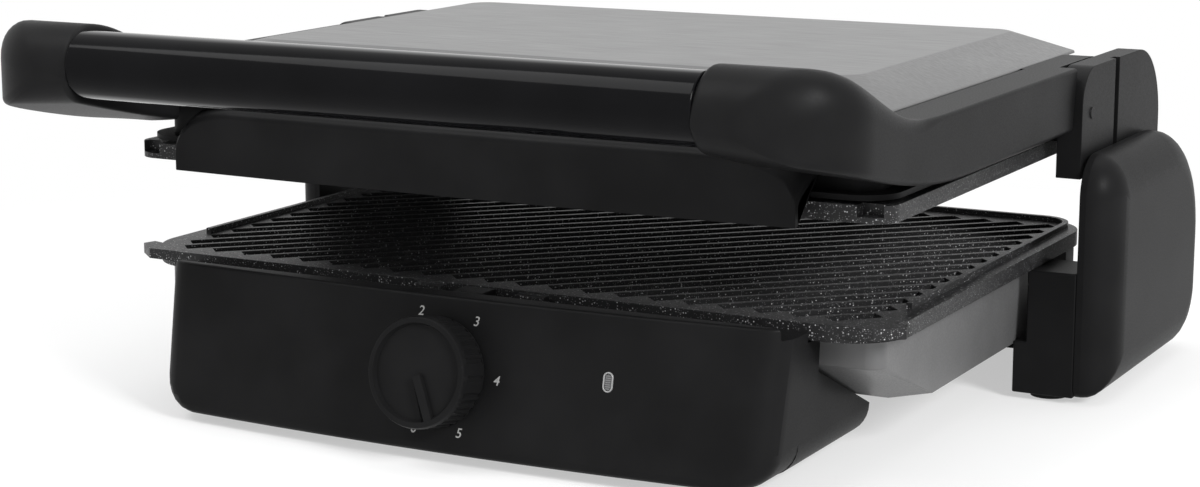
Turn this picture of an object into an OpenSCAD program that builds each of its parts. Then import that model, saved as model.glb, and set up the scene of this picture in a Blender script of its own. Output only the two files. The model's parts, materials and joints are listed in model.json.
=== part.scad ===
// Electric indoor grill with a lid that rises on two guided cheeks and then swings open.
// Heights in the sections below are measured from the rim of the lower plate, and depths
// from that plate's front edge. place() moves everything so that the origin is on the table,
// under the middle of the whole grill.

/* [Grill plates] */
// Width of each plate
plate_w = 300; // [290:1:306]
// Depth of each plate
plate_d = 216; // [210:1:220]
// Height of the plate's rim
rim_h = 5.8; // [5:0.1:7]
// Radius of the plate's corners in plan
plate_r = 22; // [16:1:26]
// Distance between neighbouring ribs, square to them
rib_pitch = 9.2; // [8:0.1:12]
// Width of a rib's top
rib_w = 2.2; // [1.6:0.1:3]
// Depth of the grooves between the ribs
groove_depth = 3; // [2:0.1:3.6]
// Flat border around the ribs
plate_border = 9; // [7:0.5:13]
// Height of the raised lip along the sides and the rear
lip_h = 2; // [1:0.1:2.4]
// Thickness of the raised lip
lip_w = 2.2; // [1.6:0.1:3]

/* [Front housing] */
// Half width at the top
housing_half = 123; // [118:1:126]
// How far the front face stands before the plate at its middle
face_out = 24; // [22:0.5:28]
// Lean of the front face from upright
face_lean = 11.2; // [8:0.2:13]
// Radius of the bow of the front face in plan
bow_radius = 1300; // [900:50:2000]
// Radius of the housing's front corners
housing_r = 11; // [8:0.5:14]
// Height of the housing's lower edge below the plate's rim
housing_drop = 52; // [50:0.5:54]
// How far the rear end stands behind the plate's front edge
housing_back = 57; // [52:1:64]
// Wall of the moulded housings
wall = 2.5; // [2:0.1:3]

/* [Dial] */
// Radius of the knob
knob_r = 19; // [17:0.5:20]
// Depth of the knob
knob_depth = 15.6; // [14:0.1:18]
// Number of flutes round the knob
knob_flutes = 40; // [24:1:48]
// Radius of the spindle
spindle_r = 3; // [2.5:0.1:3.6]
// Height of the dial below the plate's rim
dial_drop = 24.2; // [20:0.1:27]
// Sideways place of the indicator
lamp_x = 63.2; // [45:0.1:80]
// Drop of the indicator's middle below the plate rim
lamp_drop = 20.9; // [16:0.1:26]
// Width of the indicator window
lamp_w = 2.6; // [2.4:0.1:5]
// Height of the indicator window
lamp_h = 5.7; // [5:0.1:9]

/* [Base] */
// Height of the plate's rim above the table
base_h = 55.5; // [54.5:0.5:58]
// Depth of the pan below the plate's rim
pan_drop = 34.8; // [33:0.2:36]
// Thickness of the pan's sheet
pan_t = 1.5; // [1:0.1:2]
// Width of the block that carries each pod
block_w = 18.7; // [17:0.1:20]
// Depth of that block from front to back
block_d = 25; // [22:0.5:28]
// Radius of a foot
foot_r = 7; // [5:0.5:8]

/* [Pods] */
// Width of a pod
pod_w = 14.3; // [13:0.1:17]
// Length of a pod from front to back
pod_len = 123.5; // [118:0.5:130]
// Height of the pod's top above the plate's rim
pod_top = 37; // [35:0.5:38]
// Wall of a pod
pod_wall = 2.4; // [2:0.1:2.6]

/* [Lid motion] */
// Gap between the two plates with the lid raised
lift_gap = 34.3; // [32:0.1:36]
// Gap between the two plates with the lid lowered
closed_gap = 2.6; // [2.5:0.1:4]
// Distance of the hinge before the plate's rear edge
hinge_back = 25; // [22:0.5:27]
// Height of the hinge above the upper plate's rim
hinge_rise = 15.7; // [14.5:0.1:17]
// Radius of a hinge pin
pin_r = 4; // [3:0.1:4.5]
// Thickness of a cheek
cheek_t = 9.4; // [8:0.1:10]
// Length of a cheek from front to back
cheek_len = 100.5; // [96:0.5:104]
// Height of a cheek
cheek_h = 40.5; // [39:0.5:42]

/* [Lid] */
// Width of an arm
arm_w = 18.5; // [17:0.1:20]
// Height of an arm
arm_h = 23.3; // [21:0.1:24]
// Thickness of the tongue that reaches the hinge
tongue_t = 11.3; // [9:0.1:12]
// Height of the lid's flat top above the lower plate's rim
lid_top = 76; // [74:0.5:80]
// Half width of the lid's flat top
lid_flat_half = 121; // [112:1:126]
// Thickness of the lid's steel
lid_t = 1.2; // [0.8:0.1:1.6]
// Radius of the handle tube
tube_r = 11.6; // [10:0.1:12.6]
// Wall of the handle tube
tube_wall = 1.5; // [1:0.1:2]
// Half length of the handle tube
tube_half = 116.8; // [112:0.2:119]
// How far the tube's axis stands before the plate's front edge
tube_out = 65.4; // [62:0.2:70]
// Height of the tube's axis above the lower plate's rim
tube_z = 77.6; // [76:0.2:79]
// Height of the end caps' top above the lower plate's rim
cap_top = 91; // [90:0.5:94]
// Radius of the caps' outer front corners in plan
cap_r = 32; // [24:1:34]
// Half width of the skirt under the handle
skirt_half = 122.3; // [116:0.5:125]
// Thickness of the skirt
skirt_t = 2; // [1.6:0.1:2.4]

/* [Heating] */
// Radius of the heating element's sheath
element_r = 3.25; // [2.8:0.05:3.6]
// Radius of the element's bend
element_bend = 48; // [40:1:56]
// Thickness of the reflectors
reflector_t = 0.75; // [0.5:0.05:1]

/* [Fits] */
// Running clearance on a radius
run_fit = 0.05; // [0.02:0.01:0.08]
// Clearance between pieces that lie against each other
seat_gap = 0.3; // [0.2:0.05:0.4]
// Clearance between a cheek and its pod
pod_gap = 1.7; // [1.2:0.1:2.5]

/* [Hidden] */
$fn = 48;

// Places across the grill
half_w = plate_w / 2;
// Reach of the cutting blocks, past every piece
far = 250;
arm_in = half_w - 6.5;
arm_out = arm_in + arm_w;
tongue_out = arm_in + tongue_t;
cheek_in = tongue_out + 0.8;
cheek_out = cheek_in + cheek_t;
pod_in = cheek_out + pod_gap;
pod_out = pod_in + pod_w;
pan_half = half_w - 6;

// Places from front to back
hinge_y = plate_d - hinge_back;
cheek_front = hinge_y - 41;
cheek_back = cheek_front + cheek_len;
pod_front = cheek_front - 5.5;
pod_back = pod_front + pod_len;
pan_front = 10;
pan_back = plate_d - 11;
front_y = -tube_out - tube_r;
frame_y = -(front_y + pod_back) / 2;
frame_z = base_h;

// Heights
travel = lift_gap - closed_gap;
hinge_z = lift_gap + hinge_rise;
arm_top = hinge_z + 18.7;
arm_low = arm_top - arm_h;
cheek_low = arm_top - cheek_h;
pan_top = -rim_h - seat_gap;
pan_low = -pan_drop;
housing_low = -housing_drop;
cover_t = 2;
element_z = -rim_h - seat_gap - element_r;
reflector_top = element_z - element_r - seat_gap;

module place() translate([0, frame_y, frame_z]) children();
module both_sides() { children(); mirror([1, 0, 0]) children(); }
module on_left() mirror([1, 0, 0]) children();
// The upper plate and its heater are the lower ones turned over
module turned_over() translate([0, 0, lift_gap]) mirror([0, 0, 1]) children();
// Draws a YZ outline as a plate between two places along X
module across(x0, x1) translate([x0, 0, 0]) rotate([90, 0, 90]) linear_extrude(x1 - x0) children();
module block(low, high) translate(low) cube(high - low);

module round_rect(low, high, r) {
    translate([low.x + r, low.y]) square([high.x - low.x - 2 * r, high.y - low.y]);
    translate([low.x, low.y + r]) square([high.x - low.x, high.y - low.y - 2 * r]);
    for (x = [low.x + r, high.x - r], y = [low.y + r, high.y - r])
        translate([x, y]) circle(r);
}

// A skin through a row of sections that all have the same number of points
module loft(sections) {
    n = len(sections[0]);
    last = len(sections) - 1;
    polyhedron(
        points = [for (s = sections) each s],
        faces = [
            [for (i = [0:n - 1]) i],
            for (k = [0:last - 1], i = [0:n - 1])
                let (a = k * n + i, b = k * n + (i + 1) % n) each [[a, a + n, b], [b, a + n, b + n]],
            [for (i = [n - 1:-1:0]) last * n + i]
        ]
    );
}

// Grill plates

rib_step = rib_pitch * sqrt(2);
field_half = half_w - plate_border;
field_front = plate_border * 0.7;
field_back = plate_d - plate_border * 1.15;
// A groove runs along y = x + c inside the field, shortened so that its square ends stay inside
function groove_low(c, half) = max(-field_half + half, field_front - c + half);
function groove_high(c, half) = min(field_half - half, field_back - c - half);

module grooves() {
    groove_w = rib_pitch - rib_w;
    half = groove_w / 2 / sqrt(2);
    for (k = [ceil((field_front - field_half) / rib_step):floor((field_back + field_half) / rib_step)]) {
        c = k * rib_step;
        x0 = groove_low(c, half);
        x1 = groove_high(c, half);
        if (x1 - x0 > groove_w / 2)
            translate([x0, x0 + c, -groove_depth])
                rotate([0, 0, 45])
                    translate([0, -groove_w / 2, 0])
                        cube([(x1 - x0) * sqrt(2), groove_w, groove_depth + 1]);
    }
}

lug_x = 20.5;
lug_w = 11.5;
lip_in = 7.5;
ear_w = 9;
corner_r = 9;

module grill_plate(lip) {
    difference() {
        translate([0, 0, -rim_h])
            linear_extrude(rim_h) round_rect([-half_w, 0], [half_w, plate_d], plate_r);
        grooves();
    }
    // Raised lip along both sides and the rear
    if (lip) linear_extrude(lip_h) difference() {
        round_rect([-half_w + lip_in - lip_w, plate_r], [half_w - lip_in + lip_w, plate_d - 2.6],
            plate_r * 0.6);
        round_rect([-half_w + lip_in, -plate_r], [half_w - lip_in, plate_d - 2.6 - lip_w],
            plate_r * 0.6 - lip_w);
        translate([-half_w, 0]) square([plate_w, plate_r * 1.6]);
    }
    // Lugs that the catch and the ledge hold
    for (x = [-lug_x, lug_x])
        block([x - lug_w / 2, -4, ledge_z + seat_gap], [x + lug_w / 2, 0.5, -0.8]);
    // Finger ears at the front corners, flush with the rim's top
    if (lip)
        for (side = [-1, 1])
            translate([side * (half_w - ear_w), 0, 2 - rim_h])
                linear_extrude(rim_h - 2)
                    polygon([[-side * 14, 0.5], [side * 7, 12], [side * (ear_w + 2), 13], [side * (ear_w + 3.5), 8],
                        [side * 4, 0.5]]);
}

module lower_plate() place() color("#26262a") grill_plate(true);
// The upper plate has square front corners with a finger pocket above a thin bar
pocket_x = half_w - 11.5;
module upper_plate() place() color("#26262a") turned_over() difference() {
    union() {
        grill_plate(false);
        both_sides() translate([0, 0, -rim_h]) linear_extrude(rim_h) {
            translate([half_w - corner_r, corner_r]) circle(corner_r);
            translate([half_w - 2 * plate_r, 0]) square([2 * plate_r - corner_r, plate_r]);
            translate([half_w - 2 * plate_r, corner_r]) square([2 * plate_r, plate_r]);
        }
    }
    both_sides() block([pocket_x, -1, -rim_h - 1], [pocket_x + 8.5, 5.5, -2]);
}

// Heating

element_x0 = -(half_w - 65);
element_x1 = half_w - 50;
element_y = plate_d / 2;

module element() translate([0, element_y, element_z]) {
    for (y = [-element_bend, element_bend])
        translate([element_x0, y, 0]) rotate([0, 90, 0]) cylinder(r = element_r, h = element_x1 - element_x0);
    translate([element_x0, 0, 0]) rotate([0, 0, 90])
        rotate_extrude(angle = 180) translate([element_bend, 0]) circle(element_r, $fn = 24);
    // Ceramic ends
    for (y = [-element_bend, element_bend])
        translate([element_x1, y, 0]) rotate([0, 90, 0]) cylinder(r = element_r - 0.4, h = 12);
}

module reflector() {
    half = liner_half - liner_t - 0.5;
    low = [-half, liner_wall_y + liner_t + 0.5];
    high = [half, pan_back - pan_t - 2];
    translate([0, 0, reflector_top - reflector_t]) linear_extrude(reflector_t) round_rect(low, high, 10);
    // Saddles that hold the element
    for (x = [-50, 20, 80], y = [element_y - element_bend, element_y + element_bend])
        block([x - 4, y - 2, reflector_top], [x + 4, y + 2, reflector_top + seat_gap]);
}

module lower_element() place() color("#6b6560") element();
module upper_element() place() color("#6b6560") turned_over() element();
module lower_reflector() place() color("#b9bcc0") reflector();
module upper_reflector() place() color("#b9bcc0") turned_over() reflector();

// Front housing

lean = tan(face_lean);
ledge_y = -16;
ledge_z = -3;
step_y = -0.5;
step_z = -rim_h - 0.8;
face_top = 1;
roof_z = step_z - wall;
housing_rear_y = pan_front - seat_gap;
slope_z0 = -18;
slope_z1 = -39.7;
side_draft = 2;
bottom_r = 12;
front_fillet = 3.5;
function bow(x) = x * x / (2 * bow_radius);
// Front face at height z in the middle, and at a distance x from it
function face_y(z, x = 0) = -face_out + bow(x) - lean * (face_top - z);
function side_x(z) = housing_half - side_draft * (face_top - z) / (face_top - housing_low);

// Plan of the front part at height z, drawn in by ef at the face and by es at the sides
function front_plan(z, ef, es, back) =
    let (xs = side_x(z) - es, r = max(housing_r - ef, 1), xc = xs - r, y0 = face_y(z, xc) + ef)
    concat(
        [[-xs, back]],
        [for (a = [180:15:270]) [-xc + r * cos(a), y0 + r + r * sin(a)]],
        [for (x = [-5:5]) [x * xc / 6, face_y(z, x * xc / 6) + ef]],
        [for (a = [270:15:360]) [xc + r * cos(a), y0 + r + r * sin(a)]],
        [[xs, back]]
    );
slice_t = 0.2;
module slice(z, ef, es, back) translate([0, 0, z]) linear_extrude(slice_t) polygon(front_plan(z, ef, es, back));
// How far a fillet of radius r draws a wall in at the height h above its foot
function fillet_in(h, r) = h < r ? r - sqrt(r * r - (r - h) * (r - h)) : 0;

// Front part of the housing, from the face back to the pan, drawn in by the distance e
module front_form(e) hull() {
    low = housing_low + e;
    back = housing_rear_y - e;
    slice(face_top - slice_t - e, e + 1.2, e + 1.2, back);
    slice(face_top - 0.6 - e, e + 0.35, e + 0.35, back);
    slice(face_top - 1.4 - e, e, e, back);
    for (a = [0:15:90]) {
        h = (bottom_r - e) * (1 - sin(a));
        slice(low + h, e + fillet_in(h, front_fillet), e + fillet_in(h, bottom_r - e), back);
    }
}
// Section of the rear part: an upright rectangle with round lower corners
module rear_section(top, e) rotate([90, 0, 0]) linear_extrude(slice_t) {
    low = housing_low + e;
    xs = side_x(slope_z1) - e;
    r = bottom_r - e;
    translate([-xs + r, low]) square([2 * (xs - r), top - low]);
    translate([-xs, low + r]) square([2 * xs, top - low - r]);
    intersection() {
        for (x = [-xs + r, xs - r]) translate([x, low + r]) circle(r, $fn = 32);
        translate([-xs, low]) square([2 * xs, top - low]);
    }
}
// Rear part, under a roof that slopes down below the pan
slope = (slope_z0 - slope_z1) / (housing_back - housing_rear_y);
module rear_form(e) hull() {
    translate([0, -4, 0]) rear_section(slope_z0 + slope * (housing_rear_y + 4) - e, e);
    translate([0, housing_back - e, 0]) rear_section(slope_z1 - e, e);
}
cover_inset = bottom_r + 1;
module cover_outline(grow)
    polygon(front_plan(housing_low, cover_inset - grow, cover_inset - grow, housing_back - wall - 1.5 + grow));

dial_z = -dial_drop;
// Local Z points out of the front face at the height given
module on_face(x, z) translate([x, face_y(z, x), z]) rotate([90 - face_lean, 0, 0]) children();

bush_r = spindle_r + 2.6;
lamp_gap = 0.2;
bezel_w = 0.65;
screw_spots = [[-80, -8], [80, -8], [-95, 44], [95, 44]];
screw_r = 2;
boss_r = 4.6;
cover_low = housing_low + 0.4;
cover_top = cover_low + cover_t;

module pill(w, h, depth) linear_extrude(depth) {
    square([w, h - w], center = true);
    for (y = [-1, 1]) translate([0, y * (h - w) / 2]) circle(w / 2);
}

module front_housing() place() color("#232326") difference() {
    union() {
        difference() {
            union() {
                front_form(0);
                rear_form(0);
            }
            intersection() {
                front_form(wall);
                block([-far, -far, housing_low - 2], [far, far, roof_z]);
            }
            rear_form(wall);
            translate([0, 0, housing_low - 1]) linear_extrude(wall + 2) cover_outline(seat_gap);
        }
        // Bosses for the cover's screws, which run up into the roof
        intersection() {
            for (p = screw_spots) translate([p.x, p.y, cover_top]) cylinder(r = boss_r, h = -cover_top);
            union() {
                front_form(0);
                rear_form(0);
            }
        }
    }
    // Ledge where the lid's skirt comes down, and the step under the plate's rim
    block([-far, ledge_y, ledge_z], [far, far, far]);
    block([-far, step_y, step_z], [far, far, far]);
    // Slot for the plate catch
    block([-latch_w / 2 - 0.3, latch_y0 + 2 - latch_travel - 0.4, -20], [latch_w / 2 + 0.3, latch_y1 - 2 + 0.4, 0]);
    on_face(0, dial_z) translate([0, 0, -wall - 12]) cylinder(r = bush_r + 0.4, h = wall + 20);
    on_face(lamp_x, -lamp_drop) translate([0, 0, -wall - 3]) pill(lamp_w, lamp_h, wall + 8);
    on_face(lamp_x, -lamp_drop) translate([0, 0, -0.6])
        pill(lamp_w + 2 * bezel_w, lamp_h + 2 * bezel_w, 8);
    for (p = screw_spots)
        translate([p.x, p.y, cover_top - 1]) cylinder(r = screw_r, h = 10);
}

module base_cover() place() color("#1c1c1f") difference() {
    translate([0, 0, cover_low]) linear_extrude(cover_t) cover_outline(0);
    for (p = screw_spots)
        translate([p.x, p.y, housing_low]) cylinder(r = screw_r + 0.2, h = 5);
    // Slots that let cool air in
    for (k = [-5:5])
        block([k * 9 - 1.5, 6, housing_low], [k * 9 + 1.5, 28, housing_low + 5]);
}

module base_screws() place() color("#8d9094")
    for (p = screw_spots) translate([p.x, p.y, housing_low - 1.6]) {
        cylinder(r = screw_r * 1.9, h = 2);
        cylinder(r = screw_r, h = 11);
    }

// Plate catches: a tab on the ledge that is pulled forward, with a stem through the ledge
latch_w = 12;
latch_y0 = -10.5;
latch_y1 = -1.2;
latch_travel = 2.5;
latch_top = ledge_z + 2.9;
module lower_latch() place() color("#2c2c30") {
    block([-latch_w / 2, latch_y0, ledge_z + seat_gap], [latch_w / 2, latch_y1, latch_top]);
    block([-latch_w / 2 + 2, latch_y0 + 2, step_z - wall - 4], [latch_w / 2 - 2, latch_y1 - 2, ledge_z + 1]);
    // Flat that keeps the catch in its slot
    block([-latch_w / 2 - 3, latch_y0 + 2, step_z - wall - 4], [latch_w / 2 + 3, latch_y1 - 2, step_z - wall - 0.4]);
}
catch_z = lift_gap + 7.5;
module upper_latch() place() color("#2c2c30") {
    block([-latch_w / 2, -8.6, catch_z], [latch_w / 2, -2.9, catch_z + 2.6]);
    block([-latch_w / 2 + 3, -2.9, catch_z], [latch_w / 2 - 3, 6, catch_z + 2.6]);
}

// Dial

knob_gap = 0.6;
knob_face_r = knob_r - 2.3;
knob_recess = 1.8;
pointer_turn = -157;
spindle_in = 26;
module knob() place() color("#2a2a2e") on_face(0, dial_z) translate([0, 0, knob_gap]) difference() {
    union() {
        difference() {
            rotate_extrude($fn = 96) polygon([[0, 0], [knob_r - 2, 0], [knob_r - 0.4, 1.6], [knob_r, 3],
                [knob_r, knob_depth - 1.6], [knob_r - 0.5, knob_depth - 0.4], [knob_r - 1.3, knob_depth],
                [knob_face_r, knob_depth], [knob_face_r - 0.7, knob_depth - knob_recess],
                [0, knob_depth - knob_recess]]);
            for (k = [0:knob_flutes - 1])
                rotate([0, 0, k * 360 / knob_flutes]) translate([knob_r + 0.75, 0, 3])
                    cylinder(r = 1.25, h = knob_depth - 5.5, $fn = 16);
        }
        rotate([0, 0, pointer_turn]) translate([-1.5, 1, knob_depth - knob_recess - 1])
            cube([3, knob_face_r - 1, knob_recess + 1]);
    }
    translate([0, 0, -1]) cylinder(r = spindle_r, h = knob_depth - 4);
    translate([0, 0, -1]) difference() {
        cylinder(r = knob_face_r - 1, h = knob_depth - 6);
        cylinder(r = spindle_r + 3, h = knob_depth - 6);
    }
}
module selector_spindle() place() color("#9a9da1") on_face(0, dial_z)
    translate([0, 0, -spindle_in]) cylinder(r = spindle_r, h = spindle_in + knob_gap + knob_depth - 5.2);

module thermostat() place() color("#c9c4b8") on_face(0, dial_z) difference() {
    union() {
        translate([-14, -12, -wall - 0.2 - 22]) cube([28, 24, 22]);
        translate([0, 0, -wall - 0.3]) cylinder(r = bush_r, h = wall + 0.3);
    }
    translate([0, 0, -40]) cylinder(r = spindle_r + run_fit, h = 60);
}

module indicator_bezel() place() color("#c8c8c4") on_face(lamp_x, -lamp_drop) translate([0, 0, -0.6])
    difference() {
        pill(lamp_w + 2 * bezel_w - lamp_gap, lamp_h + 2 * bezel_w - lamp_gap, 1);
        translate([0, 0, -1]) pill(lamp_w, lamp_h, 3);
    }
module indicator_lens() place() color("#3a0f10") on_face(lamp_x, -lamp_drop) translate([0, 0, -wall - 1])
    pill(lamp_w - lamp_gap, lamp_h - lamp_gap, wall + 1.2);
module indicator_lamp() place() color("#d9a066") on_face(lamp_x, -lamp_drop)
    translate([0, 0, -wall - 1 - seat_gap - 12]) cylinder(r = 2.6, h = 12);

// Pan and the inside of the base

// The pan's sloped front ends above the housing's roof
pan_slope_y = housing_rear_y + (slope_z0 - pan_low) / slope + 1.6;
module pan_form(e) hull() {
    translate([0, 0, -16]) linear_extrude(pan_top + 16 - (e > 0 ? -1 : 0))
        round_rect([-pan_half + e, pan_front + e], [pan_half - e, pan_back - e], 6);
    translate([0, 0, pan_low + e]) linear_extrude(0.01)
        polygon([[-pan_half + 12, pan_slope_y + e], [pan_half - 12, pan_slope_y + e], [pan_half - 1 - e, 61.6],
            [pan_half - 1 - e, pan_back - e], [-pan_half + 1 + e, pan_back - e], [-pan_half + 1 + e, 61.6]]);
}
pan_lug_y = plate_d - 26;
module base_pan() place() color("#7d7f83") {
    difference() {
        pan_form(0);
        pan_form(pan_t);
    }
    both_sides() block([pan_half - pan_t, pan_lug_y - 5, pan_top - 5.6], [half_w - 0.4, pan_lug_y + 5, pan_top]);
}

beam_y0 = 200;
beam_y1 = 244;
beam_low = -50;
beam_top = -38;
gland_x = -100;
gland_z = -44;
gland_r = 4.9;
module rear_beam() place() color("#232326") {
    difference() {
        block([-pod_in + 0.1, beam_y0, beam_low], [pod_in - 0.1, beam_y1, beam_top]);
        block([-pod_in + 8, beam_y0 + 4, beam_low - 1], [pod_in - 8, beam_y1 - 3, beam_top - 3]);
        translate([gland_x, beam_y1 - 6, gland_z]) rotate([-90, 0, 0]) cylinder(r = gland_r + 0.1, h = 12);
    }
    for (x = [-90, -30, 30, 90])
        block([x - 6, beam_y0, beam_top - 1], [x + 6, pan_back - 0.5, pan_low - seat_gap]);
}
module mains_gland() place() color("#18181a") translate([gland_x, beam_y1 - 3, gland_z]) rotate([-90, 0, 0])
    difference() {
        union() {
            cylinder(r = gland_r, h = 3);
            translate([0, 0, 3]) cylinder(r = 7.5, h = 2.5);
            translate([0, 0, 5.5]) cylinder(r1 = 6, r2 = 5, h = 8);
        }
        translate([0, 0, -1]) cylinder(r = 3.2, h = 20);
    }
module terminal_block() place() color("#ddd8c8") difference() {
    block([-62, 18, cover_top + 0.1], [-34, 34, cover_top + 12]);
    for (x = [-57, -48, -39])
        translate([x, 14, cover_top + 6]) rotate([-90, 0, 0]) cylinder(r = 2, h = 30);
}

// Pods, the blocks that carry them, and the guides inside

pod_low = -53;
pod_round_x = 12;
pod_round_y = 16;
// Corners of the pod's outline: distance in from it, and radius
module pod_outline(e, r_min) {
    spots = [[pod_front, pod_low, 1, 1, 4], [pod_front, pod_top, 1, -1, 15],
        [pod_back, pod_top, -1, -1, 45], [pod_back, pod_low, -1, 1, 24]];
    for (s = spots)
        let (r = max(s[4] - e, r_min), d = e + r)
            translate([s[0] + s[2] * d, s[1] + s[3] * d]) circle(r, $fn = 48);
}
module pod_form(e) hull() {
    x_flat = pod_out - pod_round_x;
    across(pod_in + e, max(x_flat, pod_in + e) + 0.2) pod_outline(e, 1);
    for (a = [12:13:90])
        across(x_flat - 0.2 + (pod_round_x - e) * sin(a), x_flat + (pod_round_x - e) * sin(a))
            pod_outline(e + (pod_round_y - e) * (1 - cos(a)), 1);
}
shoe_y0 = hinge_y - 3;
shoe_y1 = shoe_y0 + 26;
shoe_t = 3.4;
web_y0 = shoe_y0 + 8.3;
web_y1 = web_y0 + 9.4;
web_z0 = cheek_low + 0.3;
web_z1 = pod_top - pod_wall - 2.2;
shoe_low = -8;
module pod_right_solid() difference() {
    pod_form(0);
    pod_form(pod_wall);
    // Slot that the web of the sliding shoe runs in
    block([pod_in - 1, web_y0 - 0.5, web_z0 - travel - 0.8], [pod_in + pod_wall + 1, web_y1 + 0.5, web_z1 + 0.6]);
}
module pod_right() place() color("#232326") pod_right_solid();
module pod_left() place() color("#232326") on_left() pod_right_solid();

block_top = pan_top;
block_in = pod_in - block_w;
module pod_block_solid() {
    block([block_in, pod_front, -33.4], [pod_in - 0.05, pod_front + block_d, block_top]);
    block([block_in - 4.8, pod_front, pod_low], [pod_in - 0.05, pod_front + block_d, -33.4]);
}
module pod_block_right() place() color("#1f1f22") pod_block_solid();
module pod_block_left() place() color("#1f1f22") on_left() pod_block_solid();

guide_x0 = pod_in + pod_wall + 0.05;
guide_x1 = guide_x0 + shoe_t + 0.9;
guide_low = shoe_low - travel - 0.5;
guide_top = 20;
module slide_guide_solid() {
    for (y = [shoe_y0 - seat_gap - 3, shoe_y1 + seat_gap])
        block([guide_x0, y, guide_low], [guide_x1, y + 3, guide_top]);
    block([guide_x1, shoe_y0 - seat_gap - 3, guide_low], [guide_x1 + 1.6, shoe_y1 + seat_gap + 3, guide_top]);
}
module slide_guide_right() place() color("#b9bcc0") slide_guide_solid();
module slide_guide_left() place() color("#b9bcc0") on_left() slide_guide_solid();

feet_spots = [[100, -9, cover_low], [block_in + 6, pod_front + 12, pod_low], [pod_in - 14, beam_y1 - 12, beam_low]];
module feet() place() color("#151516") both_sides()
    for (p = feet_spots) translate([p.x, p.y, -base_h]) {
        cylinder(r = foot_r, h = 2);
        cylinder(r = foot_r - 1, h = p.z + base_h);
    }

// Carriage: two cheeks joined by a bar, each with a shoe that slides in its pod

cheek_front_r = 14;
cheek_back_r = 30;
groove_y0 = hinge_y - 1.5;
groove_w = 5;
groove_in = 2.4;
shelf_x = half_w + 1.2;
module cheek_outline() difference() {
    translate([cheek_front, cheek_low]) square([cheek_len, cheek_h]);
    // Round front and rear top corners
    difference() {
        translate([cheek_front - 1, arm_top - cheek_front_r]) square([cheek_front_r + 1, cheek_front_r + 1]);
        translate([cheek_front + cheek_front_r, arm_top - cheek_front_r]) circle(cheek_front_r, $fn = 64);
    }
    difference() {
        translate([cheek_back - cheek_back_r, arm_top - cheek_back_r]) square([cheek_back_r + 1, cheek_back_r + 1]);
        translate([cheek_back - cheek_back_r, arm_top - cheek_back_r]) circle(cheek_back_r, $fn = 64);
    }
}
module cheek_solid() {
    difference() {
        across(cheek_in, cheek_out) cheek_outline();
        block([cheek_out - groove_in, groove_y0, 0], [cheek_out + 1, groove_y0 + groove_w, 100]);
        across(cheek_in - 1, cheek_out - groove_in - 0.6) translate([hinge_y, hinge_z]) circle(pin_r);
    }
    // Shelf that the arm's tongue rests on when the lid is shut
    block([shelf_x, cheek_front + 5, arm_low - 4.4], [cheek_in + 1, cheek_front + 20, arm_low - seat_gap]);
    across(cheek_out - 1, cheek_out + 0.5) translate([cheek_front + 11, hinge_z + 1.6]) circle(2.2);
}
module cheek_right() place() color("#26262a") cheek_solid();
module cheek_left() place() color("#26262a") on_left() cheek_solid();

module slide_shoe_solid() {
    block([cheek_out, web_y0, web_z0], [guide_x0 + 0.35, web_y1, web_z1]);
    block([guide_x0 + 0.3, shoe_y0, shoe_low], [guide_x0 + 0.3 + shoe_t, shoe_y1, web_z1]);
}
module slide_shoe_right() place() color("#4b4d51") slide_shoe_solid();
module slide_shoe_left() place() color("#4b4d51") on_left() slide_shoe_solid();

pin_x0 = arm_in + 1;
module hinge_pin_solid() across(pin_x0, cheek_out - groove_in - 0.6) translate([hinge_y, hinge_z]) circle(pin_r);
module hinge_pin_right() place() color("#a5a8ac") hinge_pin_solid();
module hinge_pin_left() place() color("#a5a8ac") on_left() hinge_pin_solid();

// Way back from the hinge line to the bar that joins the cheeks
bar_reach = 43;
bar_y = hinge_y + bar_reach;
module tie_bar() place() color("#26262a")
    block([-cheek_in, bar_y, hinge_z - 8], [cheek_in, bar_y + 6, hinge_z + 2]);

// Arms and their caps

s_back = 4.5;
s_front = -tube_out + 1.4;
// Top of the cap and arm: level on the cap, then one smooth fall to the arm
function s_top(y) = y < s_front ? cap_top : y > s_back ? arm_top
    : (cap_top + arm_top) / 2 + (cap_top - arm_top) / 2 * cos(180 * (y - s_front) / (s_back - s_front));
// Underside: a long fall from the cap's front to the arm
function s_low(y) = let (t = min(1, max(0, (y - front_y) / (40 - front_y)))) 64.5 - (64.5 - arm_low) * sin(90 * t);
arm_front = -6;
arm_end = cheek_front - 2;
spacer_r = 5;
screw_places = [45, 120];
tongue_low = lift_gap + rim_h + 0.9;

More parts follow.
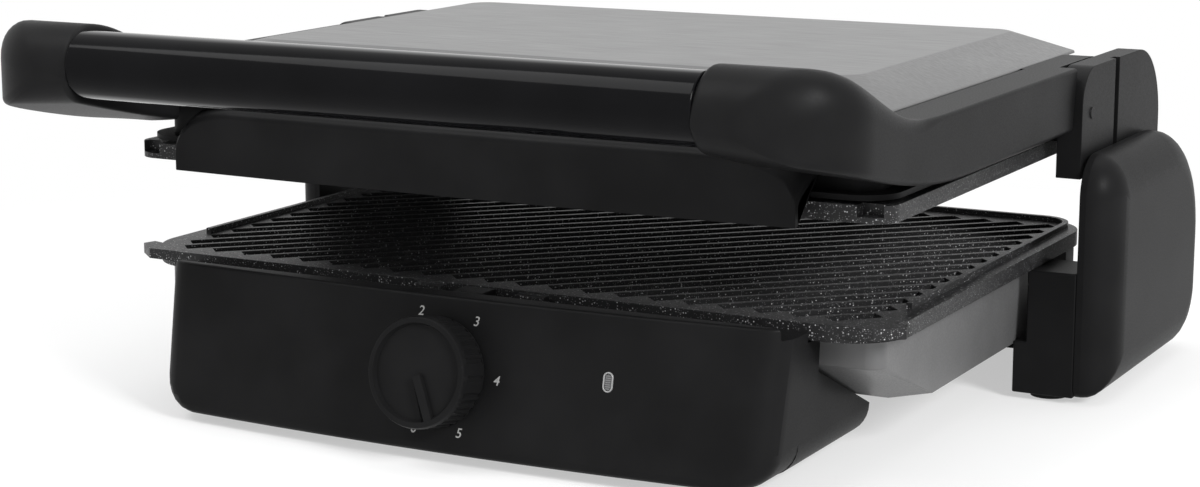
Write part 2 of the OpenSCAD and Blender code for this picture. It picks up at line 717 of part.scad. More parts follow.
module arm_outline() {
    polygon(concat(
        [for (y = [arm_front:3:s_back]) [y, s_top(y)]],
        [[s_back + 2, arm_top], [arm_end, arm_top], [arm_end, arm_low]],
        [for (y = [40:-8:arm_front + 4]) [y, s_low(y)]],
        [[arm_front, s_low(arm_front)]]
    ));
}
module arm_solid() difference() {
    union() {
        difference() {
            across(arm_in, arm_out) arm_outline();
            // Hollow end that leaves room for the cheek as the lid swings
            across(arm_in - 1, arm_out + 1) translate([hinge_y, hinge_z]) circle(43, $fn = 96);
        }
        // Tongue to the hinge, deeper round the pin and round behind it
        across(arm_in, tongue_out) difference() {
            union() {
                translate([arm_end - 14, arm_low]) square([hinge_y - arm_end + 14, arm_top - arm_low]);
                translate([hinge_y - 18, tongue_low]) square([18, arm_top - tongue_low]);
                translate([hinge_y, hinge_z]) circle(arm_top - hinge_z, $fn = 96);
            }
            translate([hinge_y - 18, 0]) square([60, tongue_low]);
        }
        for (y = screw_places)
            across(arm_in - 2.1, arm_in + 1) translate([y, hinge_z + 4]) circle(spacer_r);
    }
    across(arm_in - 3, tongue_out + 1) translate([hinge_y, hinge_z]) circle(pin_r + run_fit);
    across(tongue_out, tongue_out + 20) translate([hinge_y, hinge_z]) circle(43, $fn = 96);
    for (y = screw_places)
        across(arm_in - 3, arm_in + 10) translate([y, hinge_z + 4]) circle(screw_r);
}
module arm_right() place() color("#232326") arm_solid();
module arm_left() place() color("#232326") on_left() arm_solid();

front_len = arm_front - front_y;
cap_steps = [0, 0.35, 1.3, 2.9, 5.2, 8.2, 12, 17, 22.5, 28, 34, 40, 46, 52, 58, 64, front_len];
cap_front_r = 13;
// Distances along the cap's front quarter round
function cap_out_x(t) = t < cap_r ? arm_out - cap_r + sqrt(cap_r * cap_r - (cap_r - t) * (cap_r - t)) : arm_out;
function cap_in_x(t) = tube_half + (t > 62 ? (t - 62) * 1.2 : 0);
function cap_high(t) = t < cap_front_r
    ? cap_top - cap_front_r + sqrt(cap_front_r * cap_front_r - (cap_front_r - t) * (cap_front_r - t))
    : s_top(front_y + t);
function cap_under(t) = s_low(front_y + t) + (t < 8 ? 8 - sqrt(64 - (8 - t) * (8 - t)) : 0);
function corner(cx, cz, r, a0, y) = [for (a = [0:15:90]) [cx + r * cos(a0 + a), y, cz + r * sin(a0 + a)]];
function cap_section(t) =
    let (
        y = front_y + t, x0 = cap_in_x(t), x1 = cap_out_x(t), z0 = cap_under(t), z1 = cap_high(t),
        inward = min(2, (z1 - z0) / 6),
        ro = min(9 - 6 * t / front_len, (z1 - z0) / 2.2), ri = min(2, (z1 - z0) / 3)
    )
    concat(
        corner(x1 - ro, z1 - ro, ro, 0, y), corner(x0 + ri, z1 - ri, ri, 90, y),
        corner(x0 + ri, z0 + inward + ri, ri, 180, y), corner(x1 - ri, z0 + ri, ri, 270, y)
    );
cap_wall = 3;
module cap_solid() difference() {
    loft([for (t = cap_steps) cap_section(t)]);
    // Hollow underside
    block([tube_half + cap_wall, front_y + 14, 40], [arm_out - 12, arm_front - 8, tube_z - 6]);
    // Bore for the handle's rod
    across(tube_half - 1, tube_half + 20) translate([-tube_out, tube_z]) circle(rod_r);
}
module cap_right() place() color("#232326") cap_solid();
module cap_left() place() color("#232326") on_left() cap_solid();

rod_r = 3.5;
module handle_tube() place() color("#101012") difference() {
    across(-tube_half, tube_half) translate([-tube_out, tube_z]) circle(tube_r, $fn = 96);
    across(-tube_half - 1, tube_half + 1) translate([-tube_out, tube_z]) circle(tube_r - tube_wall, $fn = 96);
}
module handle_rod() place() color("#8d9094") {
    across(-tube_half - 18, tube_half + 18) translate([-tube_out, tube_z]) circle(rod_r);
    // Discs that centre the rod in the tube
    both_sides() across(tube_half - 4, tube_half - 0.2)
        translate([-tube_out, tube_z]) circle(tube_r - tube_wall - 0.1, $fn = 96);
}

// Lid

cover_half = arm_in - 0.1;
lid_front = [-9, 58];
lid_front_flat = 40;
lid_back_flat = plate_d - 13;
lid_back = plate_d + 4;
module lid_points(extra) {
    // Flat top with round corners, then the lower edges of its slopes
    translate([0, 0, lid_top - 0.01]) linear_extrude(0.01)
        round_rect([-lid_flat_half, lid_front_flat], [lid_flat_half, lid_back_flat], 9);
    block([-cover_half, 10, arm_top - 0.5 - extra], [cover_half, lid_back_flat + 4, arm_top]);
    block([-tube_half, lid_front[0], lid_front[1] - 0.5 - extra], [tube_half, lid_front[0] + 0.5, lid_front[1]]);
    block([-lid_flat_half, lid_back - 0.5, arm_top - 2.4 - extra], [lid_flat_half, lid_back, arm_top - 1.9]);
}
module lid_cover() place() color("#9c9da0") difference() {
    hull() lid_points(0.8);
    translate([0, 0, -lid_t]) hull() lid_points(30);
}

liner_half = arm_in - 2.2;
liner_t = 1.8;
flange_t = 1.9;
liner_low = lift_gap + rim_h + 0.9;
liner_top = arm_top - lid_t - 1;
liner_front = 0;
liner_wall_y = 22;
nose_y = 8;
nose_top = 60;
liner_back = plate_d - 2;
module lid_liner() place() color("#8a8c90") difference() {
    union() {
        translate([0, 0, liner_low]) linear_extrude(flange_t) {
            round_rect([-half_w + 2, liner_front + 2], [half_w - 2, hinge_y - 22], 14);
            round_rect([-arm_in + seat_gap, 60], [arm_in - seat_gap, liner_back], 10);
        }
        translate([0, 0, liner_low]) linear_extrude(liner_top - liner_low)
            round_rect([-liner_half, liner_wall_y], [liner_half, liner_back], 8);
        // Lower wall in front, and the shelf that carries the skirt
        translate([0, 0, liner_low]) linear_extrude(nose_top - liner_low)
            round_rect([-liner_half, nose_y], [liner_half, liner_wall_y + 8], 8);
        block([-100, skirt_bow(100) + skirt_t + 0.2, 52], [100, nose_y + 1, 54]);
    }
    // Slot for the plate catch
    block([-latch_w / 2 + 2.7, -10, catch_z - seat_gap], [latch_w / 2 - 2.7, nose_y - 0.6, catch_z + 3]);
    translate([0, 0, liner_low - 1]) linear_extrude(nose_top - liner_t - liner_low + 1)
        round_rect([-liner_half + liner_t, nose_y + liner_t], [liner_half - liner_t, liner_wall_y + 8], 6.2);
    translate([0, 0, liner_low - 1]) linear_extrude(100)
        round_rect([-liner_half + liner_t, liner_wall_y + liner_t], [liner_half - liner_t, liner_back - liner_t], 7);
    for (y = screw_places)
        across(-200, 200) translate([y, hinge_z + 4]) circle(screw_r + 0.2);
}

module lid_screws() place() color("#8d9094") both_sides()
    for (y = screw_places) {
        across(liner_half - liner_t - 1.8, liner_half - liner_t) translate([y, hinge_z + 4]) circle(screw_r * 1.9);
        across(liner_half - liner_t, liner_half + 10) translate([y, hinge_z + 4]) circle(screw_r);
    }

skirt_low = 33;
skirt_y = -14;
skirt_flat = 96;
function skirt_bow(x) = skirt_y + 2.5 * (x / skirt_half) * (x / skirt_half);
// Outline from the lower edge to the top: upright with a round top in the middle, and falling back at the ends
skirt_middle = [[0, skirt_low], [0, 53], [0.3, 54.5], [1, 55.5], [2, 56.1], [3.3, 56.5], [4.5, 56.5]];
skirt_end = [[0, skirt_low], [0, 39.5], [1.3, 41.8], [4.6, 44.3], [9.6, 46.8], [15, 49.1], [19.2, 50.6]];
// Direction of the skirt's thickness at each of those points
skirt_in = [[1, 0], [1, -0.2], [0.8, -0.5], [0.6, -0.75], [0.4, -0.9], [0.15, -1], [0, -1]];
function skirt_fall(x) = let (u = max(0, (abs(x) - skirt_flat) / (skirt_half - skirt_flat))) 1 - sqrt(1 - u * u);
function skirt_ring(x) =
    let (w = skirt_fall(x), outer = [for (i = [0:6]) (1 - w) * skirt_middle[i] + w * skirt_end[i]])
    concat(
        [for (p = outer) [x, skirt_bow(x) + p.x, p.y]],
        [for (i = [6:-1:0]) let (p = outer[i] + skirt_t * skirt_in[i]) [x, skirt_bow(x) + p.x, p.y]]
    );
skirt_steps = [-1, -0.996, -0.985, -0.965, -0.94, -0.91, -0.87, -0.82, -0.785, -0.6, -0.4, -0.2, 0];
module front_skirt() place() color("#1d1d20")
    loft(concat(
        [for (k = skirt_steps) skirt_ring(k * skirt_half)],
        [for (i = [len(skirt_steps) - 2:-1:0]) skirt_ring(-skirt_steps[i] * skirt_half)]
    ));

front_housing();
base_cover();
base_pan();
pod_left();
pod_right();
pod_block_left();
pod_block_right();
slide_guide_left();
slide_guide_right();
rear_beam();
lower_plate();
lower_element();
lower_reflector();
lower_latch();
thermostat();
selector_spindle();
knob();
indicator_bezel();
indicator_lens();
indicator_lamp();
mains_gland();
terminal_block();
feet();
base_screws();
cheek_left();
cheek_right();
slide_shoe_left();
slide_shoe_right();
hinge_pin_left();
hinge_pin_right();
tie_bar();
lid_cover();
lid_liner();
arm_left();
arm_right();
cap_left();
cap_right();
handle_tube();
handle_rod();
front_skirt();
upper_plate();
upper_element();
upper_reflector();
upper_latch();
lid_screws();
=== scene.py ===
"""Looks of the electric indoor grill with lid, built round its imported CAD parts."""

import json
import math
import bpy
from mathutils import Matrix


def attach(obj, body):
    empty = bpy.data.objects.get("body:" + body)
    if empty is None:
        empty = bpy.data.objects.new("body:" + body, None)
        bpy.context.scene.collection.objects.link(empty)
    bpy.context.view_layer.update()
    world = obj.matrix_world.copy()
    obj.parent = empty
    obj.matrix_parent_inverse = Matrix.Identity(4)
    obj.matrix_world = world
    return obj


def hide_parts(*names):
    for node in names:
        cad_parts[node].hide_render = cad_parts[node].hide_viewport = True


bl_info = {
    "name": "Indoor grill looks",
    "version": (1, 0, 0),
    "blender": (4, 5, 0),
    "location": "3D View > Sidebar > Grill",
    "description": "Builds the visible pieces of an electric indoor grill with lid round its CAD frame",
    "category": "Object",
}

import bmesh
import bpy
from mathutils import Matrix, Vector

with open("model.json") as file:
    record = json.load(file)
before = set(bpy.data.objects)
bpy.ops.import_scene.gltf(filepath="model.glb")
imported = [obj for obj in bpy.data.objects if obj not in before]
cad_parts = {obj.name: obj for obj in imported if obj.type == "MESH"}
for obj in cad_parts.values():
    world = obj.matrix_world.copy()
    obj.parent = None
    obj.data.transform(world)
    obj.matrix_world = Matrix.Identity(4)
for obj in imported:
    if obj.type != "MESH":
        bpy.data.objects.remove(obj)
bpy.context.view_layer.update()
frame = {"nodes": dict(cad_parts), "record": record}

MM = 0.001
# Where the lower plate's front edge and rim stand in the row frame, in millimetres
PLATE_Y = -95.5
PLATE_Z = 55.5


def place(x, y, z):
    """A point given in millimetres from the lower plate's front edge and rim, in the row frame."""
    return Vector((x, y + PLATE_Y, z + PLATE_Z)) * MM


# Sizes and colours


class GrillSizes(bpy.types.PropertyGroup):
    """Sizes of the pieces that are made here rather than taken from the CAD."""

    edge_round: bpy.props.FloatProperty(
        name="Edge rounding", description="Radius of the small rounds on moulded edges",
        default=0.0005, unit="LENGTH")
    sheet_round: bpy.props.FloatProperty(
        name="Lid rounding", description="Radius where the lid's flat top turns into its slopes",
        default=0.004, unit="LENGTH")
    face_lean: bpy.props.FloatProperty(
        name="Face lean", description="Angle by which the front face leans back",
        default=math.radians(11.2), subtype="ANGLE")
    numeral_height: bpy.props.FloatProperty(
        name="Numeral height", description="Height of the dial's numerals",
        default=0.0033, unit="LENGTH")
    numeral_circle: bpy.props.FloatProperty(
        name="Numeral circle", description="Radius of the circle the numerals stand on",
        default=0.022, unit="LENGTH")
    cap_round: bpy.props.FloatProperty(
        name="Cap rounding", description="Radius of a cap's outer corner seen from above",
        default=0.032, unit="LENGTH")
    cap_top: bpy.props.FloatProperty(
        name="Cap top", description="Height of the caps above the lower plate's rim",
        default=0.091, unit="LENGTH")


class GrillLooks(bpy.types.PropertyGroup):
    """Colours of the finishes."""

    plastic: bpy.props.FloatVectorProperty(
        name="Black plastic", description="Colour of the housing, arms and pods",
        default=(0.0085, 0.0085, 0.0088), subtype="COLOR", size=3, min=0, max=1)
    gloss: bpy.props.FloatVectorProperty(
        name="Gloss black", description="Colour of the handle tube",
        default=(0.004, 0.004, 0.0045), subtype="COLOR", size=3, min=0, max=1)
    lid: bpy.props.FloatVectorProperty(
        name="Lid steel", description="Colour of the lid's satin steel",
        default=(0.158, 0.158, 0.159), subtype="COLOR", size=3, min=0, max=1)
    pan: bpy.props.FloatVectorProperty(
        name="Pan grey", description="Colour of the painted pan",
        default=(0.106, 0.106, 0.107), subtype="COLOR", size=3, min=0, max=1)
    coating: bpy.props.FloatVectorProperty(
        name="Plate coating", description="Colour of the non-stick coating",
        default=(0.011, 0.011, 0.0115), subtype="COLOR", size=3, min=0, max=1)
    speck: bpy.props.FloatVectorProperty(
        name="Specks", description="Colour of the specks in the coating",
        default=(0.42, 0.42, 0.43), subtype="COLOR", size=3, min=0, max=1)
    steel: bpy.props.FloatVectorProperty(
        name="Plain steel", description="Colour of pins, screws and reflectors",
        default=(0.52, 0.52, 0.53), subtype="COLOR", size=3, min=0, max=1)
    sheath: bpy.props.FloatVectorProperty(
        name="Element sheath", description="Colour of the heating elements",
        default=(0.13, 0.115, 0.105), subtype="COLOR", size=3, min=0, max=1)
    ring: bpy.props.FloatVectorProperty(
        name="Indicator ring", description="Colour of the ring round the indicator",
        default=(0.27, 0.27, 0.27), subtype="COLOR", size=3, min=0, max=1)
    lens: bpy.props.FloatVectorProperty(
        name="Indicator lens", description="Colour of the unlit indicator",
        default=(0.035, 0.035, 0.036), subtype="COLOR", size=3, min=0, max=1)
    paint: bpy.props.FloatVectorProperty(
        name="Numeral paint", description="Colour of the dial's numerals",
        default=(0.34, 0.34, 0.335), subtype="COLOR", size=3, min=0, max=1)
    ceramic: bpy.props.FloatVectorProperty(
        name="Ceramic", description="Colour of the terminal block and thermostat",
        default=(0.7, 0.67, 0.58), subtype="COLOR", size=3, min=0, max=1)
    rubber: bpy.props.FloatVectorProperty(
        name="Rubber", description="Colour of the feet and the gland",
        default=(0.02, 0.02, 0.02), subtype="COLOR", size=3, min=0, max=1)


class GrillStage(bpy.types.PropertyGroup):
    """The camera, the lamps and the floor."""

    lens_mm: bpy.props.FloatProperty(
        name="Lens", description="Focal length on a 36 mm wide sensor, in millimetres",
        default=75.9, unit="CAMERA")
    key_power: bpy.props.FloatProperty(
        name="Key lamp", description="Power of the main lamp, in watts",
        default=22.0, unit="POWER")
    top_power: bpy.props.FloatProperty(
        name="Top lamp", description="Power of the lamp above the back, in watts",
        default=11.0, unit="POWER")
    side_power: bpy.props.FloatProperty(
        name="Side lamp", description="Power of the lamp on the right, in watts",
        default=29.0, unit="POWER")
    ambient: bpy.props.FloatProperty(
        name="Ambient light", description="Strength of the light from all round",
        default=0.55)
    floor: bpy.props.FloatVectorProperty(
        name="Floor", description="Colour of the floor",
        default=(0.95, 0.95, 0.95), subtype="COLOR", size=3, min=0, max=1)


# Materials


def noise(tree, vector, scale, detail):
    """A noise texture on the given coordinates."""
    node = tree.nodes.new("ShaderNodeTexNoise")
    node.inputs["Scale"].default_value = scale
    node.inputs["Detail"].default_value = detail
    tree.links.new(vector, node.inputs["Vector"])
    return node.outputs["Fac"]


def spread(tree, value, low, high, start=0.3, end=0.7):
    """The value mapped from the range start to end on to the range low to high."""
    node = tree.nodes.new("ShaderNodeMapRange")
    for name, number in (("From Min", start), ("From Max", end), ("To Min", low), ("To Max", high)):
        node.inputs[name].default_value = number
    tree.links.new(value, node.inputs["Value"])
    return node.outputs["Result"]


def blend(tree, factor, first, second):
    """A colour mixed from two colours or sockets by a factor."""
    node = tree.nodes.new("ShaderNodeMix")
    node.data_type = "RGBA"
    tree.links.new(factor, node.inputs["Factor"])
    for socket, value in ((node.inputs[6], first), (node.inputs[7], second)):
        if isinstance(value, bpy.types.NodeSocket):
            tree.links.new(value, socket)
        else:
            socket.default_value = (*value, 1)
    return node.outputs[2]


def finish_look(name, colour, roughness, metallic=0.0, coat=0.0, tint=0.12, patch=60, rough_spread=0.06,
                grain=1500, bump=0.05, stretch=(1, 1, 1), specular=0.5):
    """A material whose colour, roughness and surface vary as the real finish does.

    The colour varies by the share tint over broad patches. The roughness varies by rough_spread with the
    fine grain, which gives the bump as well, and stretch draws the grain out. A higher scale of patch or
    grain is finer.
    """
    look = bpy.data.materials.new(name + "_finish")
    look.use_nodes = True
    tree = look.node_tree
    shader = tree.nodes["Principled BSDF"]
    coords = tree.nodes.new("ShaderNodeTexCoord")
    mapping = tree.nodes.new("ShaderNodeMapping")
    mapping.inputs["Scale"].default_value = stretch
    tree.links.new(coords.outputs["Object"], mapping.inputs["Vector"])
    vector = mapping.outputs["Vector"]
    broad = noise(tree, coords.outputs["Object"], patch, 3)
    fine = noise(tree, vector, grain, 2)
    darker = tuple(c * (1 - tint) for c in colour)
    lighter = tuple(min(1, c * (1 + tint)) for c in colour)
    shade = blend(tree, spread(tree, broad, 0, 1), darker, lighter)
    tree.links.new(shade, shader.inputs["Base Color"])
    rough = spread(tree, fine, roughness - rough_spread, roughness + rough_spread)
    tree.links.new(rough, shader.inputs["Roughness"])
    surface = tree.nodes.new("ShaderNodeBump")
    surface.inputs["Strength"].default_value = bump
    surface.inputs["Distance"].default_value = 0.0002
    tree.links.new(fine, surface.inputs["Height"])
    tree.links.new(surface.outputs["Normal"], shader.inputs["Normal"])
    shader.inputs["Metallic"].default_value = metallic
    shader.inputs["Specular IOR Level"].default_value = specular
    shader.inputs["Coat Weight"].default_value = coat
    shader.inputs["Coat Roughness"].default_value = 0.05
    return look


def object_coords(tree):
    """The object coordinates that a finish already uses."""
    return next(node for node in tree.nodes if node.type == "TEX_COORD").outputs["Object"]


def multiplied(tree, first, second):
    """The product of two values."""
    node = tree.nodes.new("ShaderNodeMath")
    node.operation = "MULTIPLY"
    tree.links.new(first, node.inputs[0])
    tree.links.new(second, node.inputs[1])
    return node.outputs["Value"]


def specks(tree, vector, scale, size, share):
    """A mask of small round specks, in the given share of a grid's cells."""
    cells = tree.nodes.new("ShaderNodeTexVoronoi")
    cells.inputs["Scale"].default_value = scale
    tree.links.new(vector, cells.inputs["Vector"])
    near = spread(tree, cells.outputs["Distance"], 1, 0, size * 0.6, size)
    split = tree.nodes.new("ShaderNodeSeparateColor")
    tree.links.new(cells.outputs["Color"], split.inputs["Color"])
    chosen = spread(tree, split.outputs["Red"], 1, 0, share - 0.02, share + 0.02)
    return multiplied(tree, near, chosen)


def coated_look(name, colour, speck):
    """Non-stick coating: black with fine pale specks."""
    look = finish_look(name, colour, 0.42, tint=0.25, patch=90, grain=900, bump=0.09, specular=0.25)
    tree = look.node_tree
    shader = tree.nodes["Principled BSDF"]
    coords = object_coords(tree)
    base = shader.inputs["Base Color"].links[0].from_socket
    coarse = blend(tree, specks(tree, coords, 1050, 0.3, 0.34), base, speck)
    small = blend(tree, specks(tree, coords, 1900, 0.36, 0.4), coarse, tuple(c * 0.35 for c in speck))
    tree.links.new(small, shader.inputs["Base Color"])
    return look


def edge_gloss_look(name, colour):
    """Polished black lacquer that shines mostly along its edges."""
    look = finish_look(name, colour, 0.09, tint=0.2, patch=30, rough_spread=0.02, grain=500, bump=0.01)
    tree = look.node_tree
    facing = tree.nodes.new("ShaderNodeLayerWeight")
    level = spread(tree, facing.outputs["Facing"], 0.06, 0.7, 0.6, 0.95)
    tree.links.new(level, tree.nodes["Principled BSDF"].inputs["Specular IOR Level"])
    return look


def lined_look(name, colour):
    """Moulded clear plastic over fine level ribs."""
    look = finish_look(name, colour, 0.08, coat=0.5, tint=0.25, patch=400, rough_spread=0.02, grain=2500)
    tree = look.node_tree
    shader = tree.nodes["Principled BSDF"]
    base = shader.inputs["Base Color"].links[0].from_socket
    lines = tree.nodes.new("ShaderNodeTexWave")
    lines.bands_direction = "Z"
    lines.inputs["Scale"].default_value = 450
    coords = object_coords(tree)
    tree.links.new(coords, lines.inputs["Vector"])
    ribbed = blend(tree, spread(tree, lines.outputs["Fac"], 0, 0.8), base, tuple(c * 5 for c in colour))
    tree.links.new(ribbed, shader.inputs["Base Color"])
    return look


def build_materials(looks):
    """All the finishes, by name."""
    finish_look("black_plastic", looks.plastic, 0.42, tint=0.18, patch=45, rough_spread=0.05, grain=1900,
                bump=0.05, specular=0.055)
    edge_gloss_look("gloss_black", looks.gloss)
    finish_look("dial_disc", looks.gloss, 0.3, tint=0.2, patch=90, rough_spread=0.04, grain=2500, bump=0.04,
                specular=0.03)
    finish_look("lid_steel", looks.lid, 0.36, metallic=0.85, tint=0.05, patch=25, grain=1400, bump=0.05,
                stretch=(0.03, 1, 1))
    finish_look("pan_grey", looks.pan, 0.42, metallic=0.25, tint=0.08, patch=70, grain=1600, bump=0.08)
    coated_look("coated_plate", looks.coating, looks.speck)
    finish_look("plain_steel", looks.steel, 0.3, metallic=0.95, tint=0.06, patch=80, grain=900, bump=0.04,
                stretch=(0.1, 1, 1))
    finish_look("element_sheath", looks.sheath, 0.5, metallic=0.7, tint=0.35, patch=120, grain=1300,
                bump=0.12)
    finish_look("ring_plastic", looks.ring, 0.22, tint=0.05, patch=200, grain=1500, bump=0.02)
    lined_look("lens_plastic", looks.lens)
    finish_look("numeral_paint", looks.paint, 0.5, tint=0.04, patch=500, grain=3000, bump=0.03)
    finish_look("ceramic", looks.ceramic, 0.75, tint=0.07, patch=150, grain=1200, bump=0.15)
    finish_look("rubber", looks.rubber, 0.8, tint=0.15, patch=90, grain=1500, bump=0.15, specular=0.3)


# Meshes


def made(shape, name):
    """The mesh of a finished shape."""
    mesh = bpy.data.meshes.new(name)
    shape.to_mesh(mesh)
    shape.free()
    return mesh


def settle(mesh, name, look, body, nodes=()):
    """Makes a visible piece of a finished mesh with the given look, ties it to its CAD body and hides the
    CAD nodes it stands for.
    """
    mesh.name = name
    piece = bpy.data.objects.new(name, mesh)
    bpy.context.scene.collection.objects.link(piece)
    mesh.materials.clear()
    mesh.materials.append(bpy.data.materials[look + "_finish"])
    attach(piece, body)
    if nodes:
        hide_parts(*nodes)
    return piece


def worked(mesh, width, segments, angle, smooth):
    """The mesh with its sharp edges rounded and its normals set for smooth shading.

    Edges sharper than angle get a round of the given width, and edges sharper than smooth stay sharp in
    the shading. Both angles are in degrees.
    """
    holder = bpy.data.objects.new("holder", mesh)
    bpy.context.scene.collection.objects.link(holder)
    if width > 0:
        bevel = holder.modifiers.new("bevel", "BEVEL")
        bevel.width = width
        bevel.segments = segments
        bevel.limit_method = "ANGLE"
        bevel.angle_limit = math.radians(angle)
        bevel.use_clamp_overlap = True
        bevel.miter_outer = "MITER_ARC"
    mesh.shade_smooth()
    mesh.set_sharp_from_angle(angle=math.radians(smooth))
    weigh = holder.modifiers.new("weigh", "WEIGHTED_NORMAL")
    weigh.keep_sharp = True
    result = bpy.data.meshes.new_from_object(holder.evaluated_get(bpy.context.evaluated_depsgraph_get()))
    bpy.data.objects.remove(holder)
    return result


def refined(node, look, body, slot, width=0.0005, segments=2, angle=32, smooth=40, flat=0.4):
    """A piece made from a CAD node's shape, with its edges rounded and its faces smooth.

    Faces that lie within flat degrees of each other are joined first.
    """
    shape = bmesh.new()
    shape.from_mesh(frame["nodes"][node].data)
    bmesh.ops.remove_doubles(shape, verts=shape.verts, dist=2e-6)
    if flat:
        bmesh.ops.dissolve_limit(
            shape, angle_limit=math.radians(flat), verts=shape.verts, edges=shape.edges)
    mesh = made(shape, node)
    return settle(worked(mesh, width, segments, angle, smooth), node + "_shape", look, body, (node,))


def moulded(node, body, width, **rounding):
    """A piece of black plastic made from a CAD node's shape."""
    return refined(node, "black_plastic", body, "black_plastic", width, **rounding)


def loft_faces(shape, rings):
    """Joins rings of vertices, and closes both ends."""
    rows = [[shape.verts.new(p) for p in ring] for ring in rings]
    count = len(rows[0])
    for low, high in zip(rows, rows[1:]):
        for i in range(count):
            shape.faces.new((low[i], low[(i + 1) % count], high[(i + 1) % count], high[i]))
    shape.faces.new(rows[0][::-1])
    shape.faces.new(rows[-1])


def prism(shape, outline, x0, x1):
    """A plate between two places across, drawn as a closed outline of (y, z) points."""
    loft_faces(shape, [[place(x, y, z) for y, z in outline] for x in (x0, x1)])


# Arms with their caps, in millimetres from the lower plate's front edge and rim

# Sides, underside and top of an arm, the tube's end, the caps' front, and the hinge
ARM_IN, ARM_OUT, ARM_LOW, ARM_TOP = 143.5, 162.0, 45.4, 68.7
TUBE_END, FRONT_Y = 116.8, -77.0
HINGE_Y, HINGE_Z, END_RADIUS = 191.0, 50.0, 43.0
# The tongue's outer side and underside, and where the arm ends
TONGUE_OUT, TONGUE_LOW, ARM_END = 154.8, 41.0, 148.0
# How far the tongue reaches in front of the hinge line and behind it
TONGUE_FRONT, TONGUE_BACK = 18, 16
# Stretches behind a cap's front where it narrows, where its top falls, and where its outer edge sharpens
NARROWS, FALLS, SHARPENS = (60, 84), (13, 81.5), (22, 98)
# Underside of a cap, and the length over which it comes down to the arm's
CAP_LOW, UNDERSIDE_LENGTH = 64.5, 117
# Radii of the rounds at a cap's front, above and below
NOSE_TOP, NOSE_LOW = 15, 8
# Outer edge of the arm and what a cap's adds to it, the inner edge, and the lift of a cap's inner underside
ARM_EDGE, CAP_EDGE, INNER_EDGE, INNER_LIFT = 1.4, 11.2, 2.2, 2
# Steps round each corner of a section
CORNER_STEPS = 8
# Last straight section, counted from the cap's front, and how much the tongue stays within the arm's faces
STRAIGHT_END, HAIR = 200, 0.03


def ease(value, start, end):
    """0 before start, 1 after end, and a smooth rise between them."""
    t = min(1, max(0, (value - start) / (end - start)))
    return (1 - math.cos(math.pi * t)) / 2


def nose(t, radius):
    """How far an edge with this round stays back at the distance t behind the cap's front."""
    return radius - math.sqrt(radius ** 2 - max(0, radius - t) ** 2)


def arm_section(sizes, t):
    """Ring of points round an arm at the distance t behind the cap's front."""
    cap_top = sizes.cap_top / MM
    narrow = ease(t, *NARROWS)
    x0 = TUBE_END + (ARM_IN - TUBE_END) * narrow
    x1 = ARM_OUT - nose(t, sizes.cap_round / MM)
    z1 = cap_top + (ARM_TOP - cap_top) * ease(t, *FALLS) - nose(t, NOSE_TOP)
    z0 = CAP_LOW - (CAP_LOW - ARM_LOW) * math.sin(math.pi / 2 * min(1, t / UNDERSIDE_LENGTH))
    z0 += nose(t, NOSE_LOW)
    tall = z1 - z0
    outer = min(ARM_EDGE + CAP_EDGE * (1 - ease(t, *SHARPENS)), tall / 2.1)
    inner = min(INNER_EDGE, tall / 3)
    lift = min(INNER_LIFT * (1 - narrow), tall / 6)
    corners = (
        (x1 - outer, z1 - outer, outer, 0), (x0 + inner, z1 - inner, inner, 90),
        (x0 + inner, z0 + lift + inner, inner, 180), (x1 - inner, z0 + inner, inner, 270))
    ring = []
    for cx, cz, r, start in corners:
        for step in range(CORNER_STEPS + 1):
            a = math.radians(start + step * 90 / CORNER_STEPS)
            ring.append((cx + r * math.cos(a), cz + r * math.sin(a)))
    return ring


def arm_mesh(sizes):
    """The right arm: cap, arm and tongue."""
    shape = bmesh.new()
    front = sizes.cap_round / MM
    # Sections lie close together where the cap bends, and further apart along the straight arm
    stops = [front * (1 - math.cos(math.radians(a))) for a in range(0, 91, 6)]
    stops += [front + 2.5 * k for k in range(1, 27)] + [105, 120, 140, 160, 180, STRAIGHT_END]
    rings = [[place(x, FRONT_Y + t, z) for x, z in arm_section(sizes, t)] for t in stops]
    # The last rings bend round the space where the cheek turns
    last, last_y = arm_section(sizes, STRAIGHT_END), FRONT_Y + STRAIGHT_END
    for part in (0.25, 0.5, 0.75, 0.9, 1):
        ring = []
        for x, z in last:
            end = HINGE_Y - math.sqrt(END_RADIUS ** 2 - (z - HINGE_Z) ** 2)
            ring.append(place(x, last_y + (end - last_y) * part, z))
        rings.append(ring)
    loft_faces(shape, rings)
    # The tongue starts inside the arm, a hair within its faces
    top, low, start = ARM_TOP - HAIR, ARM_LOW + HAIR, ARM_END - 6
    radius = top - HINGE_Z
    turns = [math.radians(a) for a in range(0, 116, 5)]
    round_top = [(HINGE_Y + radius * math.sin(a), HINGE_Z + radius * math.cos(a)) for a in turns]
    before, behind = HINGE_Y - TONGUE_FRONT, HINGE_Y + TONGUE_BACK
    lower = [(behind, TONGUE_LOW), (before, TONGUE_LOW), (before, low), (start, low)]
    prism(shape, [(start, top)] + round_top + lower, ARM_IN + HAIR, TONGUE_OUT)
    bmesh.ops.recalc_face_normals(shape, faces=shape.faces)
    return made(shape, "arm")


def mirrored(mesh):
    """A copy of the mesh on the other side of the grill."""
    shape = bmesh.new()
    shape.from_mesh(mesh)
    bmesh.ops.transform(shape, matrix=Matrix.Scale(-1, 4, Vector((1, 0, 0))), verts=shape.verts)
    bmesh.ops.reverse_faces(shape, faces=shape.faces)
    return made(shape, "mirrored")


# Dial, in millimetres from the lower plate's front edge and rim

# The dial's middle, how far out and how high the housing's face has its top edge,
# and the radius of the bow that the numerals follow
DIAL_Z, FACE_OUT, FACE_TOP, BOW_RADIUS = -24.2, 24.0, 1.0, 1330.0
